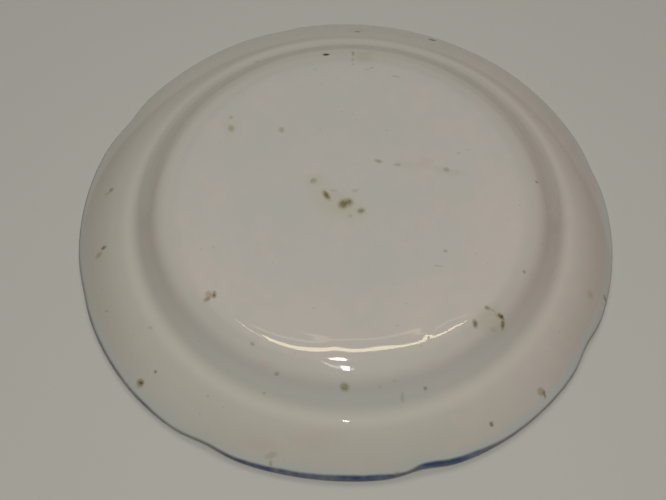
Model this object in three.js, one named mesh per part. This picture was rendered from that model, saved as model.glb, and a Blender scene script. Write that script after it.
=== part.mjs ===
// A glazed earthenware dinner plate lying face down, with its flat underside up and its lobed
// rim on the table. Millimetres, +Z up. The origin is on the table, under the middle of the rim.
import * as THREE from "three";

// Driving dimensions
const rimRadius = 120; // mean radius of the lobed edge
const wallThickness = 4.6; // the same all over, as on a plate pressed from one rolled sheet
const wellOffset = new THREE.Vector2(1.7, -0.8); // the well was thrown a little off the rim's centre
const segmentCount = 120; // facets round the plate

// The underside from its centre to the edge: at each radius, how steeply it falls, in degrees.
// Flat base, shoulder rounded in two steps, steep wall, hollow crease, and a rim that bends down.
const undersideSlopes = [
  { radius: 0, slope: 0 },
  { radius: 69.5, slope: 0 },
  { radius: 73.5, slope: 5 },
  { radius: 77, slope: 20 },
  { radius: 81, slope: 23 },
  { radius: 86.5, slope: 41 },
  { radius: 92.5, slope: 41 },
  { radius: 97.5, slope: 23 },
  { radius: 102, slope: 26 },
  { radius: 108, slope: 32 },
  { radius: 118.4, slope: 40 },
];
const creaseRadius = 94; // inside this, the plate stays round
const longestStep = 4; // between two rings of the curved part
const smoothingSteps = 16; // of the sum that turns slopes into heights

// The lip is a half round with a narrow flat land where it meets the table.
const landHalfAngle = 22; // degrees of the round on each side of its lowest point
const lipStepAngle = 34;

// Eight dents pressed into the edge leave eight lobes, none of them quite alike.
const lobeCount = 8;
const firstDentAngle = 15;
const dentHalfWidth = 4.7; // degrees
const dentDepth = 1.5; // inwards
const dentLift = 0.9; // off the table
const dentStrengths = [0.6, 0.3, 0.6, 1.2, 0.4, 0.85, 1.15, 1.05];
const lobeBulges = [-0.15, -1.05, -0.8, 0.7, 0.9, -1.5, 1.05, 0.95]; // each lobe against rimRadius

const radians = THREE.MathUtils.degToRad;

// A point of the underside's profile, with the direction that its surface faces.
function stationAt(radius, height, slope) {
  const facing = new THREE.Vector2(Math.sin(radians(slope)), Math.cos(radians(slope)));
  return { point: new THREE.Vector2(radius, height), facing };
}

// Adds up the falls from the centre outwards. Heights count down from the base, at zero.
function undersideProfile() {
  const stations = [stationAt(0, 0, 0)];
  let height = 0;
  for (let i = 1; i < undersideSlopes.length; i += 1) {
    const from = undersideSlopes[i - 1];
    const to = undersideSlopes[i];
    const isFlat = from.slope === 0 && to.slope === 0;
    const steps = isFlat ? 1 : Math.ceil((to.radius - from.radius) / longestStep);
    for (let step = 1; step <= steps; step += 1) {
      for (let part = 1; part <= smoothingSteps; part += 1) {
        const share = (step - 1 + (part - 0.5) / smoothingSteps) / steps;
        const slope = THREE.MathUtils.lerp(from.slope, to.slope, share);
        const run = (to.radius - from.radius) / (steps * smoothingSteps);
        height -= run * Math.tan(radians(slope));
      }
      const radius = THREE.MathUtils.lerp(from.radius, to.radius, step / steps);
      const slope = THREE.MathUtils.lerp(from.slope, to.slope, step / steps);
      stations.push(stationAt(radius, height, slope));
    }
  }
  return stations;
}

// Points of a round, from one angle to another, in degrees counted from the outward direction.
function roundPoints(centre, radius, fromAngle, toAngle) {
  const steps = Math.max(1, Math.ceil(Math.abs(toAngle - fromAngle) / lipStepAngle));
  return Array.from({ length: steps + 1 }, (_, step) => {
    const angle = radians(THREE.MathUtils.lerp(fromAngle, toAngle, step / steps));
    return new THREE.Vector2(Math.cos(angle), Math.sin(angle)).multiplyScalar(radius).add(centre);
  });
}

// The closed outline of half the plate, from the axis along the hidden front face to the lip,
// and back along the underside.
function plateProfile() {
  const stations = undersideProfile();
  const edge = stations.at(-1);
  const edgeSlope = undersideSlopes.at(-1).slope;
  const lipRadius = wallThickness / 2;
  const lipCentre = edge.point.clone().addScaledVector(edge.facing, -lipRadius);

  const inside = stations.slice(0, -1);
  const front = inside.map(({ point, facing }) => point.clone().addScaledVector(facing, -wallThickness));
  const innerRound = roundPoints(lipCentre, lipRadius, -90 - edgeSlope, -90 - landHalfAngle);
  const outerRound = roundPoints(lipCentre, lipRadius, -90 + landHalfAngle, 90 - edgeSlope);
  const underside = inside.map(({ point }) => point).reverse();

  const outline = [...front, ...innerRound, ...outerRound, ...underside];
  const lowest = Math.min(...outline.map((point) => point.y));
  outline.forEach((point) => {
    point.y -= lowest;
  });
  return outline;
}

// How strongly the dents act at an angle round the plate, 1 in the middle of an average dent.
function dentAt(angle) {
  return dentStrengths.reduce((sum, strength, i) => {
    const away = THREE.MathUtils.euclideanModulo(
      angle - firstDentAngle - (i * 360) / lobeCount + 180,
      360,
    ) - 180;
    return sum + strength * Math.exp(-((away / dentHalfWidth) ** 2));
  }, 0);
}

// The radius of the edge at an angle: one lobe's bulge turns smoothly into the next one's.
function edgeRadius(angle) {
  const lobe = (angle - firstDentAngle) * (lobeCount / 360) - 0.5;
  const share = THREE.MathUtils.smoothstep(lobe - Math.floor(lobe), 0, 1);
  const before = THREE.MathUtils.euclideanModulo(Math.floor(lobe), lobeCount);
  const bulge = THREE.MathUtils.lerp(lobeBulges[before], lobeBulges[(before + 1) % lobeCount], share);
  return rimRadius + bulge - dentDepth * dentAt(angle);
}

// Turns the round rim into lobes, more and more from the crease to the edge.
function shapeLobes(geometry) {
  const position = geometry.getAttribute("position");
  for (let i = 0; i < position.count; i += 1) {
    const x = position.getX(i);
    const y = position.getY(i);
    const radius = Math.hypot(x, y);
    const angle = THREE.MathUtils.radToDeg(Math.atan2(y, x));
    const share = THREE.MathUtils.smoothstep(radius, creaseRadius, rimRadius);
    const stretch = radius > 0 ? 1 + (share * (edgeRadius(angle) - rimRadius)) / radius : 1;
    position.setXYZ(
      i,
      x * stretch + wellOffset.x * (1 - share),
      y * stretch + wellOffset.y * (1 - share),
      position.getZ(i) + share * dentLift * dentAt(angle),
    );
  }
}

function makePlate() {
  const geometry = new THREE.LatheGeometry(plateProfile(), segmentCount);
  geometry.rotateX(Math.PI / 2);
  shapeLobes(geometry);
  geometry.computeVertexNormals();
  const glaze = new THREE.MeshStandardMaterial({ color: 0xd6cfc3, roughness: 0.22, metalness: 0 });
  const plate = new THREE.Mesh(geometry, glaze);
  plate.name = "plate";
  return plate;
}

const dinnerPlate = new THREE.Group();
dinnerPlate.add(makePlate());

export default dinnerPlate;
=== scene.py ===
"""A glazed dinner plate lying face down on a pale floor, chipped and stained.

The plate is spun from its cross-section, pushed into eight uneven lobes, given the unevenness of
hand work, and then chipped and pitted. Its glaze, soil and painted edge are all shader nodes.
"""
import math
from typing import NamedTuple

import bmesh
import bpy
from bpy.props import FloatProperty, FloatVectorProperty, IntProperty, PointerProperty
from mathutils import Matrix, Vector, kdtree, noise


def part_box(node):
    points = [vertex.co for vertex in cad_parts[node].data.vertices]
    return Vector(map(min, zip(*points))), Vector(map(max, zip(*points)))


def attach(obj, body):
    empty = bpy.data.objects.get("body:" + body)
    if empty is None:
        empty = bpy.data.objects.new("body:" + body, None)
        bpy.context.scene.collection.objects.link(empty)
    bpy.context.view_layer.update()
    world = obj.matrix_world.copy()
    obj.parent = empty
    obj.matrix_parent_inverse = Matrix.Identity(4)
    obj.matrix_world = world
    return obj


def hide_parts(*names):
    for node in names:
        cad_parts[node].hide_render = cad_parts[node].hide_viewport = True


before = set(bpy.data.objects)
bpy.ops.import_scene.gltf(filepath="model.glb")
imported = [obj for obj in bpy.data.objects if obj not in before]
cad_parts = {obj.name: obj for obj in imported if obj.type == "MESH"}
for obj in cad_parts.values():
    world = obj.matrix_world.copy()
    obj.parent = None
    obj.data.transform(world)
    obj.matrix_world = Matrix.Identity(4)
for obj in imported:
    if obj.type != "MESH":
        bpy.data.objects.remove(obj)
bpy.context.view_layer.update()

bl_info = {
    "name": "Upturned Dinner Plate",
    "version": (1, 0, 0),
    "blender": (4, 5, 0),
    "location": "View3D > Sidebar > Plate",
    "description": "Builds a stained, lobed dinner plate lying face down, with its studio stage",
    "category": "Object",
}

MM = 0.001
_, PLATE_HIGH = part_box("plate")


# ------------------------------------------------------------------ what a user may change


class PlateShape(bpy.types.PropertyGroup):
    """Sizes of the plate, in metres."""

    rim_radius: FloatProperty(
        name="Rim radius", description="Mean radius of the lobed edge", default=0.120, unit="LENGTH"
    )
    wall: FloatProperty(
        name="Wall", description="Thickness of the pottery", default=0.0046, unit="LENGTH"
    )
    dent_depth: FloatProperty(
        name="Dent depth", description="How far a dent goes in", default=0.0015, unit="LENGTH"
    )
    dent_lift: FloatProperty(
        name="Dent lift", description="How far a dent rises off the table", default=0.0009, unit="LENGTH"
    )
    wave_height: FloatProperty(
        name="Wave height", description="Height of the slow unevenness of hand work",
        default=0.00005, unit="LENGTH",
    )
    ripple_height: FloatProperty(
        name="Ripple height", description="Height of the finer ripples in the glaze",
        default=0.000004, unit="LENGTH",
    )
    ring_height: FloatProperty(
        name="Ring height", description="Height of the throwing rings", default=0.000008, unit="LENGTH"
    )
    facets: IntProperty(name="Facets", description="Steps round the plate", default=400, min=64)


class PlateColours(bpy.types.PropertyGroup):
    """Colours of the glaze and of what is on it, and the light and shade painted into the glaze."""

    glaze: FloatVectorProperty(
        name="Glaze", description="Milky tin glaze", subtype="COLOR",
        default=(0.66, 0.615, 0.545),
    )
    glaze_green: FloatVectorProperty(
        name="Pooled glaze", description="Glaze where it lies thick", subtype="COLOR",
        default=(0.63, 0.61, 0.545),
    )
    rim_glaze: FloatVectorProperty(
        name="Rim glaze", description="Glaze of the wall and the rim", subtype="COLOR",
        default=(0.64, 0.6, 0.505),
    )
    rose_glaze: FloatVectorProperty(
        name="Rose glaze", description="Thin glaze with the clay warming it", subtype="COLOR",
        default=(0.68, 0.595, 0.52),
    )
    # Painted shade: darkens the steep wall, which gets less light than the base and rim.
    painted_wall_shade: FloatVectorProperty(
        name="Wall shade", description="Film of grease on the steep wall", subtype="COLOR",
        default=(0.86, 0.86, 0.86),
    )
    # Painted shade, with a mauve tint: deepens the darkening high on the wall.
    painted_inner_wall_shade: FloatVectorProperty(
        name="Inner wall shade", description="Mauve tint high on the wall", subtype="COLOR",
        default=(0.96, 0.935, 0.95),
    )
    # Painted light: makes the near half of the base warmer and brighter.
    painted_near_base_light: FloatVectorProperty(
        name="Near base shade", description="Warm tint of the near base", subtype="COLOR",
        default=(1.065, 1.025, 1.01),
    )
    # Painted shade of the near wall: lighter than on the rest of the wall, and cooler.
    painted_near_wall_shade: FloatVectorProperty(
        name="Near wall", description="Cooler glaze of the near wall", subtype="COLOR",
        default=(0.62, 0.605, 0.545),
    )
    # Painted sheen: a paler colour where the crease and shoulder would mirror the room.
    painted_crease_sheen: FloatVectorProperty(
        name="Thick glaze", description="Paler glaze that gathered in the crease", subtype="COLOR",
        default=(0.75, 0.7, 0.59),
    )
    # Painted shade: darkens the outer rim on the left and right, which get less light.
    painted_outer_shade: FloatVectorProperty(
        name="Outer shade", description="Film of grease on the outer rim", subtype="COLOR",
        default=(0.88, 0.87, 0.85),
    )
    haze: FloatVectorProperty(
        name="Haze", description="Faint greenish bloom round the stains", subtype="COLOR",
        default=(0.52, 0.5, 0.33),
    )
    rose_bloom: FloatVectorProperty(
        name="Rose bloom", description="Pinkish patches in the glaze", subtype="COLOR",
        default=(0.62, 0.48, 0.41),
    )
    pale_band: FloatVectorProperty(
        name="Pale band", description="Greenish band beside the painted edge", subtype="COLOR",
        default=(0.53, 0.595, 0.56),
    )
    edge_paint: FloatVectorProperty(
        name="Edge paint", description="Blue brushed on the edge", subtype="COLOR",
        default=(0.033, 0.068, 0.16),
    )
    thin_paint: FloatVectorProperty(
        name="Thin paint", description="Edge paint where it is worn to grey", subtype="COLOR",
        default=(0.26, 0.27, 0.28),
    )
    olive_soil: FloatVectorProperty(
        name="Olive soil", description="Dried greenish food stains", subtype="COLOR",
        default=(0.335, 0.31, 0.165),
    )
    dark_soil: FloatVectorProperty(
        name="Dark soil", description="Darker crust of the stains", subtype="COLOR",
        default=(0.215, 0.19, 0.085),
    )
    rust: FloatVectorProperty(
        name="Rust", description="Orange-brown smears", subtype="COLOR",
        default=(0.36, 0.265, 0.13),
    )
    bare_clay: FloatVectorProperty(
        name="Bare clay", description="Brown pottery where glaze is chipped off", subtype="COLOR",
        default=(0.15, 0.085, 0.035),
    )
    char: FloatVectorProperty(
        name="Char", description="Nearly black burnt spots", subtype="COLOR",
        default=(0.035, 0.032, 0.026),
    )


class StageLook(bpy.types.PropertyGroup):
    """Floor, lamps and camera."""

    floor: FloatVectorProperty(
        name="Floor", description="Pale warm grey floor", subtype="COLOR", default=(0.61, 0.594, 0.525)
    )
    key_light: FloatProperty(
        name="Key light", description="Brightness of the softbox by the camera", default=16.0
    )
    room_light: FloatProperty(
        name="Room light", description="Strength of the light from all round", default=0.0
    )
    camera_distance: FloatProperty(
        name="Camera distance", description="From the lens to the plate", default=0.538, unit="LENGTH"
    )
    camera_elevation: FloatProperty(
        name="Camera elevation", description="How steeply the camera looks down",
        default=math.radians(60.8), subtype="ANGLE",
    )


# ------------------------------------------------------------------ cross-section of the plate


class Station(NamedTuple):
    """A point of the underside: radius and height in millimetres, slope in degrees."""

    radius: float
    height: float
    slope: float


UNDERSIDE_SLOPES = (
    (0.0, 0.0),
    (65.5, 0.0),
    (70.0, 1.4),
    (73.5, 5.0),
    (77.0, 20.0),
    (79.3, 22.4),
    (81.0, 24.0),
    (86.5, 41.0),
    (92.2, 41.0),
    (97.0, 19.4),
    (101.5, 26.0),
    (108.0, 32.0),
    (118.4, 40.0),
)  # at each radius in millimetres, how steeply the underside falls, in degrees
RING_STEP = 0.5  # millimetres between rings of the underside
PARTS_OF_RING = 10  # steps in which the fall over one ring is added up
FINE_ZONES = ((66.0, 84.0), (94.0, 100.0))  # outside these radii every second ring is left out
FRONT_RING_STEP = 5.0  # millimetres between rings of the hidden front
LAND_HALF_ANGLE = 22.0  # degrees of the lip's round on each side of its flat land
LIP_STEP = 9.0  # degrees between rings of the lip


def smoothstep(value, low, high):
    share = min(max((value - low) / (high - low), 0.0), 1.0)
    return share * share * (3.0 - 2.0 * share)


def lerp(first, second, share):
    return first + (second - first) * share


def slope_at(radius):
    """The underside's slope at a radius, in degrees."""
    for (near, before), (far, after) in zip(UNDERSIDE_SLOPES, UNDERSIDE_SLOPES[1:]):
        if radius <= far:
            return lerp(before, after, (radius - near) / (far - near))
    return UNDERSIDE_SLOPES[-1][1]


def underside_stations():
    """Adds up the falls from the centre outwards, a ring at a time, from height zero."""
    edge = UNDERSIDE_SLOPES[-1][0]
    rings = round(edge / RING_STEP)
    step = edge / rings
    stations = [Station(0.0, 0.0, 0.0)]
    for ring in range(rings):
        height = stations[-1].height
        for part in range(PARTS_OF_RING):
            middle = (ring + (part + 0.5) / PARTS_OF_RING) * step
            height -= step / PARTS_OF_RING * math.tan(math.radians(slope_at(middle)))
        radius = (ring + 1) * step
        stations.append(Station(radius, height, slope_at(radius)))
    return stations


UNDERSIDE = underside_stations()


def height_at(radius):
    """The round underside's height at a radius, below its middle, in millimetres."""
    place = min(max(radius / UNDERSIDE[1].radius, 0.0), len(UNDERSIDE) - 1.001)
    ring = int(place)
    return lerp(UNDERSIDE[ring].height, UNDERSIDE[ring + 1].height, place - ring)


def facing(slope):
    """The outward direction of a slope, in the plane of the cross-section."""
    return Vector((math.sin(math.radians(slope)), math.cos(math.radians(slope))))


class ProfilePoint(NamedTuple):
    """A point of the cross-section and how far it is from the edge along the surface, in mm."""

    place: Vector
    from_edge: float  # positive on the underside, negative on the front


def lip_points(centre, radius, from_angle, to_angle):
    """Points of the lip's round. Angles are in degrees from the outward direction."""
    steps = max(1, math.ceil(abs(to_angle - from_angle) / LIP_STEP))
    points = []
    for step in range(steps + 1):
        angle = math.radians(lerp(from_angle, to_angle, step / steps))
        place = centre + radius * Vector((math.cos(angle), math.sin(angle)))
        points.append(ProfilePoint(place, radius * angle))
    return points


def cross_section(wall):
    """Half the plate's outline, from the axis along the front, round the lip and back on top."""
    stations = UNDERSIDE
    edge = stations[-1]
    lip_radius = wall / 2
    lip_centre = Vector((edge.radius, edge.height)) - facing(edge.slope) * lip_radius
    outer_end = lip_radius * math.radians(90 - edge.slope)
    inner_end = lip_radius * math.radians(90 + edge.slope)

    def surface(station, depth, end):
        away = (edge.radius - station.radius) / math.cos(math.radians(station.slope)) + end
        place = Vector((station.radius, station.height)) - facing(station.slope) * depth
        return ProfilePoint(place, away if depth == 0 else -away)

    skip = round(FRONT_RING_STEP / RING_STEP)
    outline = [surface(s, wall, inner_end) for s in stations[:-3:skip]]
    outline += lip_points(lip_centre, lip_radius, -90 - edge.slope, -90 - LAND_HALF_ANGLE)
    outline += lip_points(lip_centre, lip_radius, -90 + LAND_HALF_ANGLE, 90 - edge.slope)
    for i, station in enumerate(reversed(stations)):
        fine = any(low < station.radius < high for low, high in FINE_ZONES)
        if i > 0 and (i % 2 == 0 or fine or station.radius == 0):
            outline.append(surface(station, 0, outer_end))
    lowest = min(point.place.y for point in outline)
    return [ProfilePoint(p.place - Vector((0, lowest)), p.from_edge) for p in outline]


# ------------------------------------------------------------------ shape round the plate

CREASE_RADIUS = 94.0  # millimetres, from where the lobes are pushed out
WELL_OFFSET = Vector((1.7, -0.8))  # millimetres, the well's centre off the rim's
LOBES = 8
FIRST_DENT = 15.0  # degrees
DENT_HALF_WIDTH = 4.7  # degrees
DENT_STRENGTHS = (0.6, 0.3, 0.6, 1.2, 0.4, 0.85, 1.15, 1.05)  # of the dent depth and lift
LOBE_BULGES = (-0.15, -1.05, -0.8, 0.7, 0.9, -1.5, 1.05, 0.95)  # millimetres
EDGE_CALM = 8.0  # millimetres from the edge, over which the hand work fades out
MERGE_DISTANCE = 1e-4  # millimetres

SHOULDER_RADIUS = 74.0  # millimetres
SHOULDER_WIDTH = 5.0  # millimetres to each side, over which its push fades out
SHOULDER_PUSH = (
    (0.0, 0.0),
    (200.0, 0.0),
    (225.0, 3.2),
    (240.0, 3.4),
    (250.0, 2.7),
    (257.0, 1.4),
    (262.0, 0.3),
    (266.0, -0.3),
    (272.0, -0.4),
    (279.0, -0.6),
    (288.0, 0.3),
    (295.0, 1.0),
    (303.0, 1.2),
    (310.0, 2.9),
    (330.0, 1.5),
    (360.0, 0.0),
)  # at each angle in degrees, how far out the shoulder stands, in millimetres
WAVE_LENGTH = 38.0  # millimetres
RIPPLE_LENGTH = 9.0  # millimetres
SHOULDER_RIPPLE = 1.0  # how much higher the ripples are on the shoulder
RING_SPACING = 6.5  # millimetres between throwing rings
RING_WANDER = 3.0  # millimetres that they stray from round


class Lump(NamedTuple):
    """A lump of thick glaze, in millimetres and degrees about the well's centre."""

    radius: float
    angle: float
    size: float
    height: float


LUMPS = (
    Lump(68.5, 265.0, 3.5, 0.08),
    Lump(72.3, 295.6, 1.5, 0.15),
)


def hump(distance, width):
    """1 in the middle of a smooth hump, nearly nothing at twice its width."""
    return math.exp(-((distance / width) ** 2))


def on_circle(radius, angle):
    """A place at a radius and an angle in degrees."""
    turned = math.radians(angle)
    return Vector((math.cos(turned), math.sin(turned), 0.0)) * radius


def degrees_between(first, second):
    return (first - second + 180.0) % 360.0 - 180.0


def dent_at(angle):
    """How strongly the dents act at an angle, 1 in the middle of an average dent."""
    total = 0.0
    for i, strength in enumerate(DENT_STRENGTHS):
        away = degrees_between(angle, FIRST_DENT + i * 360.0 / LOBES)
        total += strength * hump(away, DENT_HALF_WIDTH)
    return total


def bulge_at(angle):
    """How far the lobes stand out at an angle, in millimetres, without the dents."""
    lobe = (angle - FIRST_DENT) * LOBES / 360.0 - 0.5
    before = math.floor(lobe)
    share = smoothstep(lobe - before, 0.0, 1.0)
    return lerp(LOBE_BULGES[before % LOBES], LOBE_BULGES[(before + 1) % LOBES], share)


def spin_plate(shape):
    """A bmesh of the round plate, in millimetres, with each point's ring and way to the edge."""
    bm = bmesh.new()
    from_edge = bm.verts.layers.float.new("from_edge")
    ring = bm.verts.layers.float.new("ring")
    outline = cross_section(shape.wall / MM)
    verts = []
    for point in outline:
        vert = bm.verts.new((point.place.x, 0.0, point.place.y))
        vert[from_edge] = point.from_edge
        vert[ring] = point.place.x
        verts.append(vert)
    edges = [bm.edges.new(pair) for pair in zip(verts, verts[1:])]
    bmesh.ops.spin(
        bm, geom=verts + edges, cent=(0, 0, 0), axis=(0, 0, 1), dvec=(0, 0, 0),
        angle=math.tau, steps=shape.facets, use_merge=True, use_duplicate=False,
    )
    bmesh.ops.remove_doubles(bm, verts=bm.verts, dist=MERGE_DISTANCE)
    bmesh.ops.recalc_face_normals(bm, faces=bm.faces)
    return bm


def push_growth(knot):
    """How fast the push grows at one of its knots, in millimetres per degree."""
    if knot in (0, len(SHOULDER_PUSH) - 1):
        return 0.0
    (before, near), (after, far) = SHOULDER_PUSH[knot - 1], SHOULDER_PUSH[knot + 1]
    return (far - near) / (after - before)


def push_at(angle):
    """How far out the shoulder is pushed at an angle, in millimetres, on a smooth curve."""
    for knot, ((before, near), (after, far)) in enumerate(zip(SHOULDER_PUSH, SHOULDER_PUSH[1:])):
        if angle <= after:
            span = after - before
            share = (angle - before) / span
            start = push_growth(knot) * span - (far - near)
            end = (far - near) - push_growth(knot + 1) * span
            return lerp(near, far, share) + share * (1.0 - share) * lerp(start, end, share)
    return 0.0


def push_inwards(place):
    """The radius of the round underside that has the pushed shoulder's height at a place."""
    radius = place.xy.length
    angle = math.degrees(math.atan2(place.y, place.x)) % 360.0
    return radius - push_at(angle) * hump(radius - SHOULDER_RADIUS, SHOULDER_WIDTH)


def hand_work(place, shape):
    """Height of the slow waves, throwing rings, ripples and lumps at a place, in millimetres."""
    place = Vector((place.x, place.y, 0.0))
    radius = place.length
    wander = noise.noise(place / WAVE_LENGTH)
    rings = math.sin((radius + RING_WANDER * wander) / RING_SPACING * math.tau)
    lively = 1.0 + SHOULDER_RIPPLE * hump(radius - SHOULDER_RADIUS, SHOULDER_WIDTH)
    ripple = lively * noise.noise(place / RIPPLE_LENGTH)
    height = wander * shape.wave_height + rings * shape.ring_height + ripple * shape.ripple_height
    lumps = 0.0
    for lump in LUMPS:
        away = (place - on_circle(lump.radius, lump.angle)).length
        lumps += lump.height * hump(away, lump.size)
    return height / MM + lumps


def underside_point(radius, angle, shape):
    """A point of the uneven underside, its height measured from the flat middle."""
    place = on_circle(radius, angle)
    place.z = height_at(push_inwards(place)) + hand_work(place, shape)
    return place


def make_uneven(bm, shape):
    """Gives the round underside its pushed shoulder and the unevenness of hand work."""
    from_edge = bm.verts.layers.float["from_edge"]
    for vert in bm.verts:
        if vert[from_edge] < 0:
            continue
        vert.co.z += height_at(push_inwards(vert.co)) - height_at(vert.co.xy.length)
        vert.co.z += smoothstep(vert[from_edge], 0.0, EDGE_CALM) * hand_work(vert.co, shape)


def push_lobes(bm, shape):
    """Turns the round rim into lobes, more and more from the crease to the edge."""
    rim = shape.rim_radius / MM
    for vert in bm.verts:
        radius = vert.co.xy.length
        angle = math.degrees(math.atan2(vert.co.y, vert.co.x))
        share = smoothstep(radius, CREASE_RADIUS, rim)
        dent = dent_at(angle)
        reach = share * (bulge_at(angle) - shape.dent_depth / MM * dent)
        stretch = 1.0 + reach / radius if radius > 0 else 1.0
        vert.co.x = vert.co.x * stretch + WELL_OFFSET.x * (1.0 - share)
        vert.co.y = vert.co.y * stretch + WELL_OFFSET.y * (1.0 - share)
        vert.co.z += share * shape.dent_lift / MM * dent


def finished_object(bm, name):
    """A piece from a bmesh in millimetres, smooth shaded."""
    bmesh.ops.scale(bm, vec=(MM, MM, MM), verts=bm.verts)
    mesh = bpy.data.meshes.new(name)
    bm.to_mesh(mesh)
    bm.free()
    mesh.shade_smooth()
    piece = bpy.data.objects.new(name, mesh)
    bpy.context.collection.objects.link(piece)
    return piece


# ------------------------------------------------------------------ stains, chips and edge paint


class Mark(NamedTuple):
    """A stain, chip or pit of the underside, in millimetres and degrees about the well's centre."""

    kind: str
    radius: float
    angle: float
    length: float
    width: float
    turn: float  # of its length, anticlockwise from the X axis
    strength: float = 1.0


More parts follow.
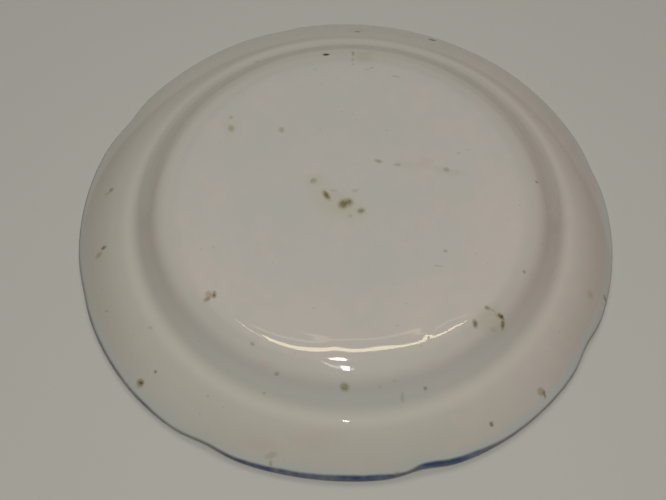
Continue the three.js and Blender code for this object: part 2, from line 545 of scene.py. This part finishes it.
MARKS = (
    # the row of dried splashes in the middle, with the bloom round them
    Mark("soil", 17.7, 151, 3.6, 2.8, 40, 0.62),
    Mark("soil", 9.9, 174, 6.2, 2.7, -62, 0.95),
    Mark("soil", 4.4, 232, 4.6, 5.2, 0, 1.0),
    Mark("soil", 2.6, 262, 4.6, 4.6, 0, 0.85),
    Mark("soil", 8.5, 306, 4.0, 3.2, 20, 0.8),
    Mark("soil", 4.2, 53, 3.2, 2.2, 0, 0.34),
    Mark("soil", 9.3, 271, 2.2, 1.8, 0, 0.45),
    Mark("soil", 7.7, 153, 3.6, 1.2, -10, 0.35),
    Mark("haze", 6.0, 215, 26.0, 13.0, -33, 0.9),
    Mark("haze", 17.0, 150, 10.0, 8.0, 0, 0.7),
    # the dotted trail from there to the right
    Mark("soil", 22.6, 55, 4.0, 1.9, -22, 0.75),
    Mark("soil", 27.0, 38, 3.8, 2.0, -8, 0.5),
    Mark("soil", 44.8, 18, 3.0, 2.4, -30, 0.55),
    Mark("haze", 45.0, 17, 16.0, 4.0, -14, 0.7),
    Mark("haze", 31.0, 32, 12.0, 5.0, -10, 0.5),
    Mark("rose", 38.2, 27.7, 7.0, 6.0, 0, 0.8),
    Mark("soil", 53.4, 24.9, 2.0, 1.6, 0, 0.35),
    # far left of the base
    Mark("soil", 63.8, 145, 3.4, 4.2, 20, 0.55),
    Mark("soil", 67.6, 141, 2.4, 2.0, 0, 0.42),
    Mark("soil", 46.4, 130, 3.0, 3.2, 20, 0.55),
    Mark("haze", 64.5, 144, 9.0, 12.0, 0, 0.5),
    # far shoulder and rim
    Mark("char", 80.3, 97, 3.4, 2.2, 0, 1.0),
    Mark("rust", 80.0, 88, 1.5, 4.6, 0, 0.55),
    Mark("rust", 75.0, 88, 1.5, 2.2, 0, 0.45),
    Mark("rust", 72.1, 88, 1.3, 1.4, 0, 0.35),
    Mark("haze", 77.0, 84, 10.0, 9.0, 0, 0.8),
    Mark("soil", 70.6, 81, 3.0, 0.9, 25, 0.5),
    Mark("soil", 69.4, 82.6, 2.0, 0.8, 0, 0.4),
    Mark("soil", 68.5, 71, 5.0, 1.2, -15, 0.35),
    Mark("rose", 91.5, 115, 11.0, 3.0, 18, 1.0),
    Mark("soil", 93.7, 117, 2.2, 1.8, 0, 0.55),
    Mark("soil", 71.0, 102, 3.0, 1.0, 30, 0.25),
    Mark("char", 106.7, 87, 3.0, 1.8, 0, 0.6),
    Mark("haze", 109.0, 87, 12.0, 6.0, 0, 0.8),
    Mark("char", 113.2, 68, 4.2, 2.0, -5, 0.85),
    # left of the rim
    Mark("soil", 108.4, 171.2, 2.4, 2.2, 40, 0.75),
    Mark("rust", 109.8, 172.0, 3.4, 1.8, 15, 0.42),
    Mark("soil", 108.9, 187.0, 3.0, 2.0, 20, 0.9),
    Mark("rust", 111.5, 188.3, 3.8, 2.8, 45, 0.5),
    Mark("soil", 113.3, 202.3, 1.6, 1.4, 0, 0.5),
    Mark("rose", 100.2, 212.8, 2.6, 2.0, -40, 0.9),
    Mark("soil", 100.2, 212.8, 1.5, 1.2, -40, 0.35),
    # open chip, near left of the base
    Mark("clay", 73.2, 219.6, 2.0, 3.6, 0, 0.85),
    Mark("rust", 74.6, 218.5, 4.2, 3.6, 20, 0.5),
    Mark("rust", 76.5, 219.3, 3.8, 2.2, 30, 0.8),
    # near left of the rim
    Mark("clay", 116.0, 220.5, 2.4, 3.2, 60, 0.95),
    Mark("soil", 116.4, 220.6, 3.6, 3.8, 60, 0.6),
    Mark("clay", 109.2, 221.6, 1.5, 1.5, 0, 0.7),
    Mark("soil", 103.1, 235.2, 1.4, 1.2, 0, 0.4),
    Mark("char", 79.3, 239.6, 2.2, 1.6, -40, 0.32),
    Mark("char", 85.5, 249.3, 2.2, 1.7, 0, 0.34),
    Mark("rose", 84.4, 245.4, 6.0, 4.0, 0, 0.7),
    Mark("soil", 92.8, 247.5, 1.6, 1.3, 0, 0.4),
    Mark("soil", 55.4, 254, 1.4, 1.2, 0, 0.32),
    Mark("soil", 64.2, 287, 1.6, 1.4, 0, 0.25),
    # near wall
    Mark("soil", 85.8, 268, 4.2, 3.2, -15, 0.7),
    Mark("soil", 86.4, 277.4, 1.8, 1.5, 0, 0.3),
    Mark("soil", 85.3, 281.6, 1.8, 1.5, 0, 0.25),
    Mark("soil", 90.9, 282.9, 1.8, 4.0, 0, 0.35),
    Mark("char", 90.1, 289.2, 1.9, 1.5, 0, 0.42),
    # near rim
    Mark("rust", 112.7, 253.0, 6.0, 2.6, 10, 0.3),
    Mark("rose", 110.0, 250.0, 16.0, 5.0, -10, 0.7),
    Mark("soil", 115.3, 253.3, 1.4, 2.2, 0, 0.6),
    Mark("rust", 116.2, 278.9, 2.8, 1.8, 20, 0.34),
    Mark("rose", 104.0, 262.0, 22.0, 8.0, 0, 0.6),
    # right of the base and rim: pits, a scratch, the cluster at the shoulder and chips
    Mark("rose", 48.2, 326.2, 3.0, 2.4, 0, 1.0),
    Mark("clay", 48.2, 326.2, 1.6, 1.3, 0, 0.5),
    Mark("soil", 50.2, 317.4, 4.2, 0.8, -12, 0.5),
    Mark("soil", 77.3, 316.3, 2.8, 1.9, -15, 0.72),
    Mark("rust", 79.6, 317.2, 4.2, 0.9, -22, 0.32),
    Mark("rust", 81.6, 317.0, 0.9, 3.6, 20, 0.36),
    Mark("soil", 78.6, 310.0, 2.4, 3.8, 12, 0.85),
    Mark("clay", 83.2, 317.9, 3.2, 2.0, -30, 1.0),
    Mark("soil", 85.6, 316.8, 2.0, 4.6, -8, 0.9),
    Mark("char", 84.6, 313.5, 3.4, 2.0, 0, 0.15),
    Mark("haze", 82.0, 315.0, 14.0, 12.0, 0, 0.9),
    Mark("char", 81.1, 333.9, 1.9, 1.6, 0, 0.38),
    Mark("char", 82.8, 6.5, 1.8, 1.6, 0, 0.4),
    Mark("soil", 110.2, 340.3, 3.6, 4.0, 0, 0.3),
    Mark("clay", 117.0, 342.0, 1.4, 3.2, 10, 0.6),
    Mark("rust", 113.2, 314.2, 3.8, 3.4, 0, 0.62),
    Mark("clay", 114.8, 314.5, 1.1, 3.2, 15, 0.85),
    Mark("clay", 111.5, 300.8, 2.0, 1.9, 0, 0.85),
)

KINDS = ("soil", "rust", "clay", "char", "haze", "rose")
RELIEF = {"soil": 0.05, "rust": -0.04, "clay": -0.15, "char": -0.2}  # millimetres, + stands proud
CORE_SHARE = 0.3  # of a mark's half size, where it is at its full strength
FADE_SHARE = 1.4  # where it ends
DENSE_RADIUS = 30.0  # millimetres, inside which the points are close enough already
REFINE_MARGIN = 0.8  # millimetres round a mark that is refined
RAGGED_HEIGHT = 0.3  # how much noise goes into the outline of a mark's relief
RAGGED_SCALE = 1.6  # per millimetre
RELIEF_FROM, RELIEF_FULL = 0.3, 0.6  # cover at which the relief begins and is full


class EdgePaint(NamedTuple):
    """The brushed edge at an angle in degrees."""

    angle: float
    reach: float  # up from the outermost point of the lip, in millimetres
    depth: float  # of the colour, 0 thin and grey, 1 full navy
    pale: float  # how clearly the greenish band shows inside it


EDGE_PAINT = (
    EdgePaint(0, 0.6, 0.15, 1.0),
    EdgePaint(20, 1.0, 0.1, 0.7),
    EdgePaint(60, 1.6, 0.15, 0.4),
    EdgePaint(120, 1.7, 0.15, 0.4),
    EdgePaint(136, 1.7, 0.2, 0.6),
    EdgePaint(150, 1.6, 0.35, 0.7),
    EdgePaint(168, 1.9, 0.5, 0.5),
    EdgePaint(190, 1.9, 0.35, 0.4),
    EdgePaint(202, 1.9, 0.6, 0.7),
    EdgePaint(216, 1.7, 0.72, 0.8),
    EdgePaint(226, 1.7, 0.76, 0.8),
    EdgePaint(232, 1.3, 0.45, 0.7),
    EdgePaint(240, 1.4, 0.55, 0.6),
    EdgePaint(248, 1.9, 0.9, 0.7),
    EdgePaint(257, 2.5, 1.0, 0.8),
    EdgePaint(262, 2.6, 0.8, 0.8),
    EdgePaint(268, 2.9, 0.95, 0.8),
    EdgePaint(276, 2.9, 1.0, 0.8),
    EdgePaint(282, 1.3, 0.7, 0.8),
    EdgePaint(284.5, 2.6, 0.9, 0.8),
    EdgePaint(288, 3.0, 1.0, 1.0),
    EdgePaint(295, 2.9, 0.88, 1.0),
    EdgePaint(302, 1.7, 0.6, 1.0),
    EdgePaint(312, 1.4, 0.5, 1.0),
    EdgePaint(328, 1.5, 0.4, 1.0),
    EdgePaint(336, 1.4, 0.5, 1.0),
    EdgePaint(348, 0.9, 0.35, 0.8),
    EdgePaint(360, 0.6, 0.15, 1.0),
)


def edge_paint_at(angle):
    """The edge paint at an angle, between the two nearest entries."""
    for before, after in zip(EDGE_PAINT, EDGE_PAINT[1:]):
        if angle <= after.angle:
            share = (angle - before.angle) / (after.angle - before.angle)
            return EdgePaint(*(lerp(first, second, share) for first, second in zip(before, after)))
    return EDGE_PAINT[-1]


def underside_tree(bm):
    """The underside's points seen from above, for finding those near a mark."""
    from_edge = bm.verts.layers.float["from_edge"]
    bm.verts.ensure_lookup_table()
    tree = kdtree.KDTree(len(bm.verts))
    for vert in bm.verts:
        if vert[from_edge] > 0:
            tree.insert((vert.co.x, vert.co.y, 0.0), vert.index)
    tree.balance()
    return tree


def mark_centre(mark):
    return on_circle(mark.radius, mark.angle) + WELL_OFFSET.to_3d()


def refine_near_chips(bm):
    """Splits the faces round each chip and pit, so that its relief has enough points."""
    tree = underside_tree(bm)
    chosen = {}
    for mark in MARKS:
        if mark.kind not in RELIEF or mark.radius < DENSE_RADIUS:
            continue
        reach = max(mark.length, mark.width) / 2 + REFINE_MARGIN
        for _, index, _ in tree.find_range(mark_centre(mark), reach):
            for edge in bm.verts[index].link_edges:
                chosen[edge.index] = edge
    edges = [chosen[index] for index in sorted(chosen)]
    bmesh.ops.subdivide_edges(bm, edges=edges, cuts=2, use_grid_fill=True)


def lay_marks(bm):
    """Stores how strongly each kind of mark covers each point."""
    layers = {kind: bm.verts.layers.float.new(kind) for kind in KINDS}
    tree = underside_tree(bm)
    for mark in MARKS:
        centre = mark_centre(mark)
        layer = layers[mark.kind]
        turned = math.radians(mark.turn)
        direction = Vector((math.cos(turned), math.sin(turned)))
        reach = max(mark.length, mark.width) / 2 * FADE_SHARE
        for _, index, _ in tree.find_range(centre, reach):
            vert = bm.verts[index]
            offset = vert.co.xy - centre.xy
            along = offset.dot(direction) / mark.length * 2
            across = offset.cross(direction) / mark.width * 2
            away = math.hypot(along, across)
            cover = mark.strength * (1.0 - smoothstep(away, CORE_SHARE, FADE_SHARE))
            vert[layer] = max(vert[layer], cover)


def press_marks(bm):
    """Sinks the chips and pits into the glaze, and raises the dried soil on it."""
    bm.normal_update()
    layers = {kind: bm.verts.layers.float[kind] for kind in RELIEF}
    moves = []
    for vert in bm.verts:
        depth = 0.0
        for kind, relief in RELIEF.items():
            if vert[layers[kind]] > 0:
                ragged = vert[layers[kind]] + RAGGED_HEIGHT * noise.noise(vert.co * RAGGED_SCALE)
                depth += relief * smoothstep(ragged, RELIEF_FROM, RELIEF_FULL)
        if depth:
            moves.append((vert, vert.normal * depth))
    for vert, move in moves:
        vert.co += move


def paint_edge(bm):
    """Stores the edge paint at each point."""
    layers = [bm.verts.layers.float.new(name) for name in ("blue_reach", "blue_depth", "pale_band")]
    for vert in bm.verts:
        paint = edge_paint_at(math.degrees(math.atan2(vert.co.y, vert.co.x)) % 360.0)
        for layer, value in zip(layers, paint[1:]):
            vert[layer] = value


# ------------------------------------------------------------------ shader helpers


class Signal:
    """A shader value that adds, subtracts and multiplies as a number does."""

    def __init__(self, finish, socket):
        self.finish = finish
        self.socket = socket

    def _maths(self, operation, first, second):
        return self.finish.node("ShaderNodeMath", {"operation": operation}, {0: first, 1: second})

    def __add__(self, other):
        return self._maths("ADD", self, other)

    def __radd__(self, other):
        return self._maths("ADD", other, self)

    def __sub__(self, other):
        return self._maths("SUBTRACT", self, other)

    def __rsub__(self, other):
        return self._maths("SUBTRACT", other, self)

    def __mul__(self, other):
        return self._maths("MULTIPLY", self, other)

    def __rmul__(self, other):
        return self._maths("MULTIPLY", other, self)


class Finish:
    """A material under construction."""

    def __init__(self, name):
        self.material = bpy.data.materials.new(name)
        self.material.use_nodes = True
        self.tree = self.material.node_tree
        self.tree.nodes.clear()

    def node(self, kind, settings=None, sockets=None, output=0):
        """Makes a node, sets it up, feeds its sockets, and returns one of its outputs."""
        made = self.tree.nodes.new(kind)
        for name, value in (settings or {}).items():
            setattr(made, name, value)
        for name, value in (sockets or {}).items():
            socket = made.inputs[name]
            if isinstance(value, Signal):
                self.tree.links.new(value.socket, socket)
            else:
                socket.default_value = value
        return None if output is None else Signal(self, made.outputs[output])

    def place(self):
        """Object coordinates in millimetres."""
        where = self.node("ShaderNodeTexCoord", output="Object")
        return self.node("ShaderNodeVectorMath", {"operation": "SCALE"}, {0: where, "Scale": 1 / MM})

    def layer(self, name):
        """A number stored on the mesh."""
        return self.node("ShaderNodeAttribute", {"attribute_name": name}, output="Fac")

    def noise(self, where, size, detail=2.0, roughness=0.5):
        """Soft noise, 0 to 1, whose spots are about size millimetres across."""
        sockets = {"Vector": where, "Scale": 1.0 / size, "Detail": detail, "Roughness": roughness}
        return self.node("ShaderNodeTexNoise", None, sockets)

    def step(self, value, low, high):
        """0 below low, 1 above high, and smooth between. High may be the lower one."""
        sockets = {"Value": value, "From Min": low, "From Max": high}
        return self.node("ShaderNodeMapRange", {"interpolation_type": "SMOOTHSTEP"}, sockets)

    def band(self, value, start, full, still_full, end):
        """1 between full and still_full, and 0 before start and after end."""
        return self.step(value, start, full) * self.step(value, end, still_full)

    def mix(self, share, first, second, blend="MIX"):
        """Two colours mixed."""
        settings = {"data_type": "RGBA", "blend_type": blend}
        sockets = {0: share, 6: rgba(first), 7: rgba(second)}
        return self.node("ShaderNodeMix", settings, sockets, output=2)

    def tint(self, share, colour, shade):
        """A colour multiplied by a shade."""
        return self.mix(share, colour, shade, "MULTIPLY")

    def part_of(self, vector, axis):
        """The X, Y or Z of a vector. The red of a colour is its X."""
        return self.node("ShaderNodeSeparateXYZ", None, {0: vector}, output=axis)

    def size_of(self, value):
        """A number without its sign."""
        return self.node("ShaderNodeMath", {"operation": "ABSOLUTE"}, {0: value})

    def held(self, value):
        """A number kept between 0 and 1."""
        return self.node("ShaderNodeClamp", None, {"Value": value})

    def largest(self, first, second):
        return self.node("ShaderNodeMath", {"operation": "MAXIMUM"}, {0: first, 1: second})

    def surface(self, sockets):
        """Ends the material in a Principled shader with these sockets."""
        shader = self.node("ShaderNodeBsdfPrincipled", None, sockets)
        self.node("ShaderNodeOutputMaterial", None, {"Surface": shader}, output=None)


def rgba(colour):
    """A colour socket takes four numbers, and a link stays as it is."""
    return colour if isinstance(colour, Signal) else (*colour[:3], 1.0)


# ------------------------------------------------------------------ materials


COOL_MOTTLE = (0.965, 0.975, 0.965)
WARM_MOTTLE = (1.0, 0.985, 0.985)
RAGGEDNESS = {"soil": 1.2, "rust": 1.6, "clay": 1.2, "char": 1.0}  # of the marks' borders
PINHOLE_SCALE = 0.2  # cells per millimetre, some of which hold a pinhole
GLAZE_IOR = 1.52
CLEAN_ROUGHNESS = 0.018
DULL_ROUGHNESS = 0.55  # added by soil and bare clay
GRAIN_STRENGTH = 0.12  # of the bump
GRAIN_HEIGHT = 0.02  # millimetres


def glaze_colour(finish, colours, where, medium):
    """The bare glaze: rose where it ran thin, greener where it pooled, with painted shade on the wall
    and outer rim, painted light on the near base and a painted sheen on the crease and shoulder.
    """
    ring = finish.layer("ring")
    sideways = finish.part_of(where, "X")
    onwards = finish.part_of(where, "Y")
    right = finish.step(sideways, 20.0, 110.0)
    left = finish.step(sideways, -30.0, -90.0)
    far = finish.step(onwards, -60.0, 60.0)
    near = finish.step(onwards, -30.0, -80.0)

    pooled = finish.step(finish.noise(where, 26.0, 2.0), 0.35, 0.65)
    colour = finish.mix(pooled, colours.glaze, colours.glaze_green)
    outside = finish.step(ring, 74.0, 86.0)
    colour = finish.mix(outside * 0.85, colour, colours.rim_glaze)
    colour = finish.mix(right * (outside * 0.75 + 0.25), colour, colours.rose_glaze)
    mottled = finish.mix(finish.step(medium, 0.3, 0.7), COOL_MOTTLE, WARM_MOTTLE)
    colour = finish.tint(1.0, colour, mottled)

    # Painted shade: the steep wall is darkened in its colour.
    wall = finish.band(ring, 82.0, 88.0, 90.5, 95.0)
    colour = finish.tint(wall * 0.5, colour, colours.painted_wall_shade)
    # The near wall takes a lighter, cooler painted shade than the rest of the wall.
    colour = finish.mix(wall * near * 0.6, colour, colours.painted_near_wall_shade)
    # Painted light: the near half of the base is warmed and brightened.
    near_base = finish.band(ring, 35.0, 62.0, 75.0, 80.0) * (1.0 - far)
    colour = finish.tint(near_base, colour, colours.painted_near_base_light)
    # Painted shade, with a mauve tint, deepest high on the wall.
    inner_wall = finish.band(ring, 80.0, 85.0, 86.0, 90.0)
    colour = finish.tint(inner_wall * 0.8, colour, colours.painted_inner_wall_shade)

    # Painted sheen: the crease and shoulder are lightened, most on the far side and least on the right.
    crease = finish.band(ring, 91.0, 96.0, 97.5, 102.0) * (far * 0.5 + 0.35 - left * far * 0.6)
    shoulder = finish.band(ring, 74.0, 79.0, 82.0, 87.0) * (far * 0.4 + 0.15)
    # The share of the painted sheen on the crease and shoulder.
    thick = (crease + shoulder) * (1.0 - right * 0.6)
    colour = finish.mix(thick, colour, colours.painted_crease_sheen)
    # Painted shade: the outer rim is darkened on its left and right sides.
    outer = finish.step(ring, 100.0, 112.0) * finish.step(finish.size_of(sideways), 70.0, 112.0)
    colour = finish.tint(outer * 0.8, colour, colours.painted_outer_shade)
    colour = finish.mix(finish.layer("haze") * 0.4, colour, colours.haze)
    return finish.mix(finish.layer("rose") * 0.45, colour, colours.rose_bloom)


def brush_edge(finish, colours, colour, where, medium, ragged):
    """The blue brushed over the lip, with a greenish band where the paint bled."""
    from_edge = finish.layer("from_edge")
    pale = finish.band(from_edge, 1.6, 3.2, 4.2, 7.0)
    colour = finish.mix(pale * finish.layer("pale_band") * 0.6, colour, colours.pale_band)
    reach = finish.layer("blue_reach") + (medium - 0.5) * 0.7 + ragged * 0.25
    blue = finish.step(reach - from_edge, -0.9, 0.6) * finish.step(from_edge, -4.6, -3.6)
    strokes = finish.noise(where, 9.0, 3.0) * 1.2 + 0.4
    depth = finish.held(finish.layer("blue_depth") * strokes)
    paint = finish.mix(depth, colours.thin_paint, colours.edge_paint)
    return finish.mix(blue * (depth * 0.5 + 0.45), colour, paint)


def pinholes(finish, where):
    """1 in the pinholes of the glaze, which keep off the edge."""
    sockets = {"Vector": where, "Scale": PINHOLE_SCALE}
    from_middle = finish.node("ShaderNodeTexVoronoi", None, sockets)
    chance = finish.node("ShaderNodeTexVoronoi", None, sockets, output="Color")
    chosen = finish.step(finish.part_of(chance, "X"), 0.72, 0.78)
    off_edge = finish.step(finish.layer("from_edge"), 4.0, 6.0)
    return finish.step(from_middle, 0.1, 0.045) * chosen * off_edge


def lay_soil(finish, colours, colour, fine, ragged):
    """Rust, soil, bare clay and char over the glaze, and how dull they leave it."""
    cover = {
        kind: finish.held(finish.layer(kind) * (ragged * raggedness + 1.12) - 0.04)
        for kind, raggedness in RAGGEDNESS.items()
    }
    crusted = finish.step(cover["soil"] + (fine - 0.5) * 0.8, 0.4, 0.95)
    soil = finish.mix(crusted, colours.olive_soil, colours.dark_soil)
    clay = finish.mix(finish.step(fine, 0.4, 0.6), colours.bare_clay, colours.rust)
    for kind, paint in (("rust", colours.rust), ("soil", soil), ("clay", clay), ("char", colours.char)):
        colour = finish.mix(cover[kind], colour, paint)
    bare = finish.largest(cover["clay"], cover["char"])
    return colour, finish.largest(bare, cover["soil"] * 0.8)


def tin_glaze(colours):
    """Milky glaze with its painted edge, pinholes, soil and chips."""
    finish = Finish("tin_glaze")
    where = finish.place()
    medium = finish.noise(where, 7.0, 3.0)
    fine = finish.noise(where, 1.1, 3.0)
    ragged = finish.noise(where, 0.9, 2.0) - 0.5
    pinhole = pinholes(finish, where)

    colour = glaze_colour(finish, colours, where, medium)
    colour = brush_edge(finish, colours, colour, where, medium, ragged)
    colour = finish.mix(pinhole * 0.4, colour, colours.olive_soil)
    colour, dull = lay_soil(finish, colours, colour, fine, ragged)

    roughness = dull * DULL_ROUGHNESS + medium * 0.01 + CLEAN_ROUGHNESS
    peel = finish.noise(where, 2.2, 1.0) * (1.0 - dull * 0.6) + fine * dull * 2.0
    height = peel - pinhole * 3.0
    grain = {"Strength": GRAIN_STRENGTH, "Distance": GRAIN_HEIGHT * MM, "Height": height}
    bump = finish.node("ShaderNodeBump", None, grain)
    finish.surface({"Base Color": colour, "Roughness": roughness, "IOR": GLAZE_IOR, "Normal": bump})
    return finish.material


def plain_floor(look):
    finish = Finish("plain_floor")
    finish.surface({"Base Color": rgba(look.floor), "Roughness": 0.9, "Specular IOR Level": 0.2})
    return finish.material


# ------------------------------------------------------------------ stage

AIM = Vector((-5.5, -10.9, 2.5)) * MM  # the point in the middle of the view
CAMERA_ROLL = math.radians(-0.43)
LENS = 64.9  # millimetres
SENSOR = 36.0  # millimetres
FLOOR_HALF_SIZE = 2000.0  # millimetres
FLOOR_MIDDLE = (0.0, 0.0, 0.0)
ROOM_COLOUR = (0.80, 0.82, 0.85, 1.0)


class SoftLamp(NamedTuple):
    """A lamp that lights the stage from a place in metres and doesn't show in the gloss."""

    name: str
    place: tuple
    size: tuple
    share: float  # of the key light


SOFT_LAMPS = (
    SoftLamp("camera_softbox", (0.0, -0.35, 0.95), (0.30, 0.30), 1.0),
    SoftLamp("far_softbox", (0.0, 0.60, 1.20), (0.90, 0.60), 0.138),
)


class MirroredLamp(NamedTuple):
    """A lamp for the gloss only, placed so that the underside mirrors it at a radius and an angle."""

    name: str
    radius: float
    angle: float
    size: tuple  # metres
    radiance: float
    colour: tuple


WARM_WHITE = (1.0, 0.86, 0.55)
COOL_WHITE = (0.95, 0.96, 1.0)
LAMP_DISTANCE = 1.2  # metres from the place that mirrors the lamp
NORMAL_STEP = 0.3  # millimetres and degrees, over which the underside's slope is taken there
MIRRORED_LAMPS = (
    MirroredLamp("warm_strip", 72.6, 276.7, (0.532, 0.090), 8.2, WARM_WHITE),
    MirroredLamp("warm_dash", 75.0, 235.6, (0.010, 0.100), 10.0, WARM_WHITE),
    MirroredLamp("faint_strip", 67.8, 277.0, (0.400, 0.020), 1.6, WARM_WHITE),
    MirroredLamp("white_left", 76.1, 263.2, (0.014, 0.150), 25.0, COOL_WHITE),
    MirroredLamp("white_left_twin", 75.8, 269.2, (0.005, 0.080), 2.0, COOL_WHITE),
    MirroredLamp("white_right", 79.3, 268.4, (0.035, 0.105), 20.0, COOL_WHITE),
    MirroredLamp("white_glow", 79.3, 267.6, (0.120, 0.050), 4.0, COOL_WHITE),
)


def view_axes(look):
    """Where the camera looks, its right and its up."""
    down = look.camera_elevation
    forward = Vector((0, math.cos(down), -math.sin(down)))
    right = Vector((1, 0, 0))
    return forward, right, right.cross(forward)


def camera_place(look):
    forward, _, _ = view_axes(look)
    return AIM - forward * look.camera_distance


def make_camera(look):
    data = bpy.data.cameras.new("camera")
    data.lens = LENS
    data.sensor_width = SENSOR
    data.sensor_fit = "HORIZONTAL"
    camera = bpy.data.objects.new("camera", data)
    forward, right, up = view_axes(look)
    turn = Matrix((right, up, -forward)).transposed().to_4x4()
    roll = Matrix.Rotation(CAMERA_ROLL, 4, "Z")
    camera.matrix_world = Matrix.Translation(camera_place(look)) @ turn @ roll
    bpy.context.collection.objects.link(camera)
    bpy.context.scene.camera = camera


def make_floor(look):
    bm = bmesh.new()
    bmesh.ops.create_grid(bm, x_segments=2, y_segments=2, size=FLOOR_HALF_SIZE)
    floor = finished_object(bm, "floor")
    floor.data.materials.append(plain_floor(look))


def lamp(name, place, aim, size, radiance, colour=(1.0, 1.0, 1.0)):
    """A flat lamp of a width and a height, in metres."""
    data = bpy.data.lights.new(name, "AREA")
    data.shape = "RECTANGLE"
    data.size, data.size_y = size
    data.energy = radiance * math.pi * size[0] * size[1]
    data.color = colour
    made = bpy.data.objects.new(name, data)
    made.location = place
    made.rotation_euler = (Vector(aim) - Vector(place)).to_track_quat("-Z", "Y").to_euler()
    bpy.context.collection.objects.link(made)
    return made


def mirrored_place(look, shape, mirrored):
    """Where a lamp stands so that the underside mirrors it, and the place that mirrors it."""
    radius, angle, step = mirrored.radius, mirrored.angle, NORMAL_STEP
    outward = underside_point(radius + step, angle, shape) - underside_point(radius - step, angle, shape)
    onward = underside_point(radius, angle + step, shape) - underside_point(radius, angle - step, shape)
    normal = outward.cross(onward).normalized()
    middle = Vector((*WELL_OFFSET, PLATE_HIGH.z / MM))
    point = (underside_point(radius, angle, shape) + middle) * MM
    to_camera = (camera_place(look) - point).normalized()
    to_lamp = normal * (2 * normal.dot(to_camera)) - to_camera
    return point + to_lamp * LAMP_DISTANCE, point


def make_lights(look, shape):
    for soft in SOFT_LAMPS:
        radiance = soft.share * look.key_light
        made = lamp(soft.name, soft.place, FLOOR_MIDDLE, soft.size, radiance)
        made.visible_glossy = False
    for mirrored in MIRRORED_LAMPS:
        place, point = mirrored_place(look, shape, mirrored)
        made = lamp(mirrored.name, place, point, mirrored.size, mirrored.radiance, mirrored.colour)
        made.visible_diffuse = False
    world = bpy.data.worlds.new("room")
    bpy.context.scene.world = world
    world.use_nodes = True
    background = world.node_tree.nodes["Background"]
    background.inputs["Color"].default_value = ROOM_COLOUR
    background.inputs["Strength"].default_value = look.room_light


# ------------------------------------------------------------------ operators


class PLATE_OT_make_plate(bpy.types.Operator):
    """Make the plate with its glaze, soil and painted edge"""

    bl_idname = "plate.make_plate"
    bl_label = "Plate"

    def execute(self, context):
        shape = context.scene.plate_shape
        bm = spin_plate(shape)
        make_uneven(bm, shape)
        push_lobes(bm, shape)
        refine_near_chips(bm)
        lay_marks(bm)
        press_marks(bm)
        paint_edge(bm)
        plate = finished_object(bm, "glazed_plate")
        plate.data.materials.append(tin_glaze(context.scene.plate_colours))
        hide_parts("plate")
        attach(plate, "root")
        return {"FINISHED"}


class PLATE_OT_make_stage(bpy.types.Operator):
    """Make the floor, the lamps and the camera"""

    bl_idname = "plate.make_stage"
    bl_label = "Stage"

    def execute(self, context):
        look = context.scene.plate_stage
        make_camera(look)
        make_floor(look)
        make_lights(look, context.scene.plate_shape)
        context.scene.view_settings.view_transform = "Standard"
        return {"FINISHED"}


class PLATE_PT_sidebar(bpy.types.Panel):
    """Lists the steps that build the plate"""

    bl_idname = "PLATE_PT_sidebar"
    bl_label = "Plate"
    bl_space_type = "VIEW_3D"
    bl_region_type = "UI"
    bl_category = "Plate"

    def draw(self, context):
        for step in STEPS:
            self.layout.operator(step.bl_idname)


STEPS = (PLATE_OT_make_stage, PLATE_OT_make_plate)
CLASSES = (PlateShape, PlateColours, StageLook, *STEPS, PLATE_PT_sidebar)


def register():
    for cls in CLASSES:
        bpy.utils.register_class(cls)
    bpy.types.Scene.plate_shape = PointerProperty(type=PlateShape)
    bpy.types.Scene.plate_colours = PointerProperty(type=PlateColours)
    bpy.types.Scene.plate_stage = PointerProperty(type=StageLook)


def unregister():
    del bpy.types.Scene.plate_stage
    del bpy.types.Scene.plate_colours
    del bpy.types.Scene.plate_shape
    for cls in reversed(CLASSES):
        bpy.utils.unregister_class(cls)


def main():
    register()
    bpy.ops.plate.make_stage()
    bpy.ops.plate.make_plate()


if __name__ == "__main__":
    main()
